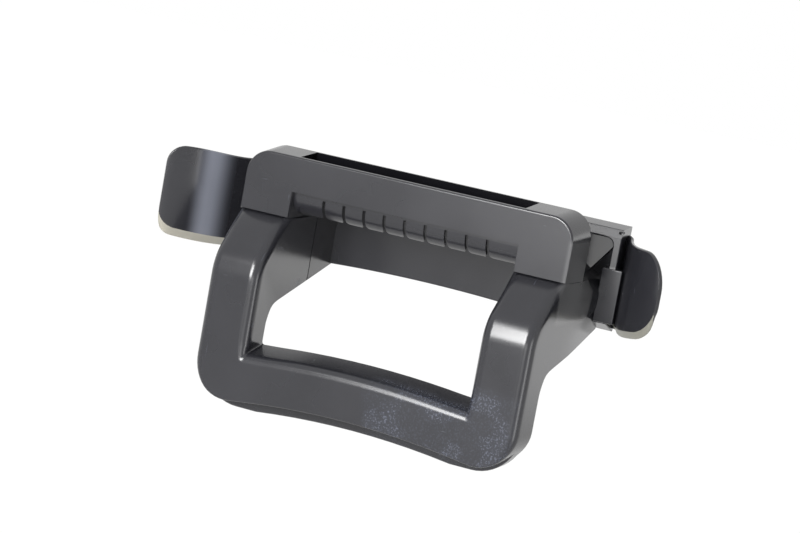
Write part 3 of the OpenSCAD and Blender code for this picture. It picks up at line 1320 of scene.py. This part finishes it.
@dataclass(frozen=True)
class MouldedPlastic:
    """Dark grey satin plastic with a fine grain, soft cloudiness and worn patches, plus painted light: a
    painted sheen on the left wing and a lighter painted patch on the right flank.
    """

    name: str = "moulded_plastic"
    colour: Colour = (0.0135, 0.0137, 0.0165)
    worn: Colour = (0.046, 0.052, 0.072)
    # Colour of the painted sheen on the left wing.
    pale: Colour = (0.125, 0.132, 0.158)
    roughness: float = 0.21
    # Painted light: a lighter tone on the right flank that stands in for light reflected onto it.
    painted_flank_tone: Colour = (0.07, 0.071, 0.074)
    gloss: float = 0.5
    fine_detail: float = 2.0
    soft_detail: float = 3.0
    refraction: float = 1.5
    grain: float = 0.03
    grain_depth: float = 0.0002
    grain_scale: float = 1900.0
    cloud_scale: float = 22.0
    cloud_ease: Pair = (0.3, 0.7)
    cloud_tone: float = 0.08
    cloud_rough: float = 0.08
    streak_tone: float = 0.4
    streak_rough: float = 0.1
    streak_ease: Pair = (0.74, 0.80)
    streak_tilt: float = 0.2
    streak_sets: tuple[tuple[float, Point], ...] = ((0.5, (60.0, 60.0, 900.0)), (-0.4, (900.0, 60.0, 50.0)))
    rub_rough: float = 0.12
    rub_scales: Pair = (60.0, 900.0)
    rub_least: Pair = (0.3, 0.15)
    rub_cloud_ease: Pair = (0.42, 0.62)
    rub_speck_ease: Pair = (0.5, 0.66)
    rub_speck_rough: float = 0.7
    # Painted highlight: a soft pale band on the left wing that stands in for a sheen of light, its strength
    # varying with the cloud pattern.
    painted_sheen_least: float = 0.85
    painted_sheen_cloud: float = 0.3
    painted_sheen: Patch = Patch((-131.4, 10.0, -70.0), (-130.0, 50.0, 0.0), 7.5)
    # Patch of painted light on the right flank.
    painted_flank_light: Patch = Patch((100.8, -2.0, -56.0), (104.0, 38.0, -14.0), 4.0)
    painted_bright_sole: Patch = Patch((14.0, -31.0, -140.0), (90.0, -24.0, -104.0), 10.0)

    def material(self) -> bpy.types.Material:
        """Builds the material.

        Returns:
            The material.
        """
        material = bpy.data.materials.new(self.name)
        graph = Graph(material)
        place = graph.add("ShaderNodeTexCoord", out="Object")
        axes = graph.split(place)
        cloud = self._noise(graph, place, self.cloud_scale, self.soft_detail)
        grain = self._noise(graph, place, self.grain_scale, self.fine_detail)
        streaks = self._streaks(graph, place)
        rubs = self._rubs(graph, place) * self.painted_bright_sole.mask(graph, axes)
        painted_sheen = self.painted_sheen.mask(graph, axes) * (self.painted_sheen_least + self.painted_sheen_cloud * cloud)
        dark, light = self._tint(1.0 - self.cloud_tone), self._tint(1.0 + self.cloud_tone)
        colour = self._blend(graph, graph.ease(cloud, *self.cloud_ease), dark, light)
        colour = self._blend(graph, streaks * self.streak_tone, colour, self.worn)
        # painted light on the right flank
        colour = self._blend(graph, self.painted_flank_light.mask(graph, axes), colour, self.painted_flank_tone)
        colour = self._blend(graph, rubs, colour, self.worn)
        # painted sheen on the left wing
        colour = self._blend(graph, painted_sheen, colour, self.pale)
        rough = self.roughness + (cloud - 0.5) * self.cloud_rough
        rough = rough + rubs * self.rub_rough + streaks * self.streak_rough
        bump = {"Strength": self.grain, "Distance": self.grain_depth, "Height": grain}
        surface = {
            "Base Color": colour,
            "Roughness": rough,
            "Normal": graph.add("ShaderNodeBump", {}, bump),
            "IOR": self.refraction,
            "Specular IOR Level": self.gloss,
        }
        shader = graph.add("ShaderNodeBsdfPrincipled", {}, surface)
        graph.add("ShaderNodeOutputMaterial", {}, {"Surface": shader})
        return material

    def _tint(self, level: float) -> Colour:
        """Returns the plastic's colour, made lighter or darker."""
        return tuple(level * part for part in self.colour)

    @staticmethod
    def _noise(graph: Graph, place: Signal, scale: float, detail: float, roughness: float = 0.5) -> Signal:
        """Returns a cloudy pattern of a scale and a level of detail."""
        values = {"Vector": place, "Scale": scale, "Detail": detail, "Roughness": roughness}
        return graph.add("ShaderNodeTexNoise", {}, values)

    @staticmethod
    def _blend(graph: Graph, share: Signal, first: object, second: object) -> Signal:
        """Mixes two colours.

        Args:
            graph: The material's graph.
            share: 0 for the first colour, 1 for the second.
            first: A colour or a Signal.
            second: A colour or a Signal.

        Returns:
            The mixed colour.
        """
        ends = [end if isinstance(end, Signal) else (*end, 1.0) for end in (first, second)]
        return graph.add("ShaderNodeMix", {"data_type": "RGBA"}, {0: share, 6: ends[0], 7: ends[1]}, out=2)

    def _streaks(self, graph: Graph, place: Signal) -> Signal:
        """Gives faint fine scratches in two directions, as a mask from 0 to 1."""
        marks = []
        for turn, stretch in self.streak_sets:
            values = {"Vector": place, "Rotation": (0.0, turn, self.streak_tilt), "Scale": stretch}
            spot = graph.add("ShaderNodeMapping", {}, values)
            marks.append(graph.ease(self._noise(graph, spot, 1.0, self.fine_detail), *self.streak_ease))
        return marks[0].top(marks[1])

    def _rubs(self, graph: Graph, place: Signal) -> Signal:
        """Gives fine specks, thicker in soft clouds, as a mask from 0 to 1."""
        clouds = self._noise(graph, place, self.rub_scales[0], self.soft_detail)
        specks = self._noise(graph, place, self.rub_scales[1], self.soft_detail, self.rub_speck_rough)
        masks = (graph.ease(clouds, *self.rub_cloud_ease), graph.ease(specks, *self.rub_speck_ease))
        levels = [least + (1.0 - least) * mask for least, mask in zip(self.rub_least, masks)]
        return levels[0] * levels[1]


@dataclass(frozen=True)
class Viewpoint:
    """The camera that took the photograph, in metres and degrees."""

    place: Point = (0.53325, -1.39824, 0.19282)
    azimuth: float = 21.69
    elevation: float = 8.17
    roll: float = 10.33
    lens: float = 117.0
    sensor: float = 36.0
    nearest: float = 0.01
    farthest: float = 50.0

    def build(self) -> Piece:
        """Adds the camera and makes it the scene's own.

        Returns:
            The camera.
        """
        data = bpy.data.cameras.new("camera")
        data.lens = self.lens
        data.sensor_width = self.sensor
        data.clip_start = self.nearest
        data.clip_end = self.farthest
        camera = bpy.data.objects.new("camera", data)
        bpy.context.scene.collection.objects.link(camera)
        turn = Matrix.Rotation(math.radians(self.azimuth), 4, "Z")
        tilt = Matrix.Rotation(math.radians(RIGHT_ANGLE - self.elevation), 4, "X")
        lean = Matrix.Rotation(math.radians(self.roll), 4, "Z")
        camera.matrix_world = Matrix.Translation(self.place) @ turn @ tilt @ lean
        bpy.context.scene.camera = camera
        return camera


@dataclass(frozen=True)
class Lamp:
    """One soft lamp: a flat panel that faces a point, in metres."""

    name: str
    place: Point
    aim: Point
    width: float
    height: float
    level: float

    def build(self) -> None:
        """Adds the lamp; its level is how bright the panel itself looks, where 1 is white."""
        data = bpy.data.lights.new(self.name, "AREA")
        data.shape = "RECTANGLE"
        data.size = self.width
        data.size_y = self.height
        data.energy = self.level * math.pi * self.width * self.height
        lamp = bpy.data.objects.new(self.name, data)
        bpy.context.scene.collection.objects.link(lamp)
        lamp.location = self.place
        lamp.rotation_euler = (Vector(self.aim) - Vector(self.place)).to_track_quat("-Z", "Y").to_euler()


@dataclass(frozen=True)
class Studio:
    """A pale room with soft lamps; the background shows white to the camera."""

    floor_size: float = 12.0
    floor_drop: float = 0.35
    floor_colour: Colour = (0.8, 0.79, 0.77)
    floor_glow: float = 1.05
    floor_share: float = 0.9
    ambient: float = 0.8
    ambient_colour: Colour = (1.0, 0.99, 0.97)
    white: Colour = (1.0, 1.0, 1.0)
    lamps: tuple[Lamp, ...] = (
        Lamp("key", (-0.12, -1.15, 0.34), (0.05, -0.06, -0.02), 0.46, 0.6, 25.0),
        Lamp("front_panel", (-0.06, -1.3, 0.08), (0.0, 0.0, 0.0), 0.56, 0.52, 2.7),
        Lamp("side_panel", (0.88, -0.36, -0.16), (-0.1, -0.05, 0.0), 0.26, 0.5, 4.0),
        Lamp("rear_panel", (0.7, 1.0, -0.05), (0.1, 0.0, 0.0), 0.8, 0.5, 0.7),
        Lamp("upper_panel", (-0.38, -1.05, 0.72), (0.1, 0.0, 0.0), 0.3, 0.24, 7.0),
        Lamp("camera_panel", (0.75, -1.8, -0.1), (0.1, 0.0, 0.0), 0.7, 0.5, 3.0),
    )

    def build(self) -> None:
        """Adds the floor, the world and the lamps."""
        bpy.context.scene.view_settings.view_transform = "Standard"
        self._floor()
        self._world()
        for lamp in self.lamps:
            lamp.build()

    def _floor(self) -> None:
        """Adds the plain pale floor, which is not part of the handle."""
        Bench.clear()
        bpy.ops.mesh.primitive_plane_add(size=self.floor_size, location=(0.0, 0.0, -self.floor_drop))
        floor = bpy.context.object
        floor.name = "floor"
        material = bpy.data.materials.new("pale_floor")
        graph = Graph(material)
        matt = graph.add("ShaderNodeBsdfDiffuse", {}, {"Color": (*self.floor_colour, 1.0)})
        white = self._glow(graph, "ShaderNodeEmission", self.white, self.floor_glow)
        share = self._shown(graph) * self.floor_share
        shader = graph.add("ShaderNodeMixShader", {}, {0: share, 1: matt, 2: white})
        graph.add("ShaderNodeOutputMaterial", {}, {"Surface": shader})
        floor.data.materials.append(material)

    def _world(self) -> None:
        """Sets the world: white to the camera and in reflections, and an even light for the handle."""
        world = bpy.data.worlds.new("studio")
        bpy.context.scene.world = world
        graph = Graph(world)
        room = self._glow(graph, "ShaderNodeBackground", self.ambient_colour, self.ambient)
        white = self._glow(graph, "ShaderNodeBackground", self.white, 1.0)
        shader = graph.add("ShaderNodeMixShader", {}, {0: self._shown(graph), 1: room, 2: white})
        graph.add("ShaderNodeOutputWorld", {}, {"Surface": shader})

    @staticmethod
    def _glow(graph: Graph, kind: str, colour: Colour, strength: float) -> Signal:
        """Adds a node of a kind that glows in a colour at a strength."""
        return graph.add(kind, {}, {"Color": (*colour, 1.0), "Strength": strength})

    @staticmethod
    def _shown(graph: Graph) -> Signal:
        """Returns 1 for rays that show the background: those of the camera and of reflections."""
        kinds = ("Camera", "Glossy", "Transmission")
        rays = [graph.add("ShaderNodeLightPath", out=f"Is {kind} Ray") for kind in kinds]
        return rays[0].top(rays[1]).top(rays[2])


def dress(pieces: list[Piece], finishes: list[bpy.types.Material]) -> None:
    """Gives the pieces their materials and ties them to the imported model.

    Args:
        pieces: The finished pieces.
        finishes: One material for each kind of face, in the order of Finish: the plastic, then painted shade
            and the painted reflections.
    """
    for piece in pieces:
        marks = [face.material_index for face in piece.data.polygons]
        piece.data.materials.clear()
        for material in finishes[: max(marks) + 1]:
            piece.data.materials.append(material)
        piece.data.polygons.foreach_set("material_index", marks)
        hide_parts(NODE)
        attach(piece, BODY)
        LOG.info("%s: %d faces", piece.name, len(piece.data.polygons))


def main() -> None:
    """Builds the handle, the studio and the camera."""
    logging.basicConfig(level=logging.INFO, format="%(message)s")
    flank = Flank()
    right = Wing(
        Side.RIGHT,
        low_root=-59.3,
        low_rise=9.0,
        low_power=2.3,
        top_dip=-10.8,
        corner=18.0,
        corner_drop=19.0,
        foot=16.0,
        foot_rise=12.0,
        sole=5.0,
        sole_out=2.8,
        sole_end=5.0,
        # dimmer painted reflection on the right wing's sole
        sole_painted_reflection=Finish.PAINTED_DIM_SOLE,
    )
    builders = [Hood(flank), FingerRow(), GripLoop(flank), Shoulder(flank), RearFrame(), SidePad()]
    builders += [Wing(Side.LEFT), right]
    pieces: list[Piece] = []
    for builder in builders:
        pieces += builder.build()
    plastics = [
        MouldedPlastic(),
        # Painted shade for the trough's faces.
        MouldedPlastic("shaded_plastic", SHADED_TONE, SHADED_TONE, SHADED_TONE, roughness=0.15, gloss=0.08),
        # Painted reflections on the wing soles, bright on the left wing and dim on the right.
        MouldedPlastic("painted_bright_sole_reflection", BRIGHT_SOLE_REFLECTION, BRIGHT_SOLE_REFLECTION, BRIGHT_SOLE_REFLECTION, roughness=0.4),
        MouldedPlastic("painted_dim_sole_reflection", DIM_SOLE_REFLECTION, DIM_SOLE_REFLECTION, DIM_SOLE_REFLECTION, roughness=0.4),
    ]
    dress(pieces, [plastic.material() for plastic in plastics])
    Studio().build()
    Viewpoint().build()


if __name__ == "__main__":
    main()
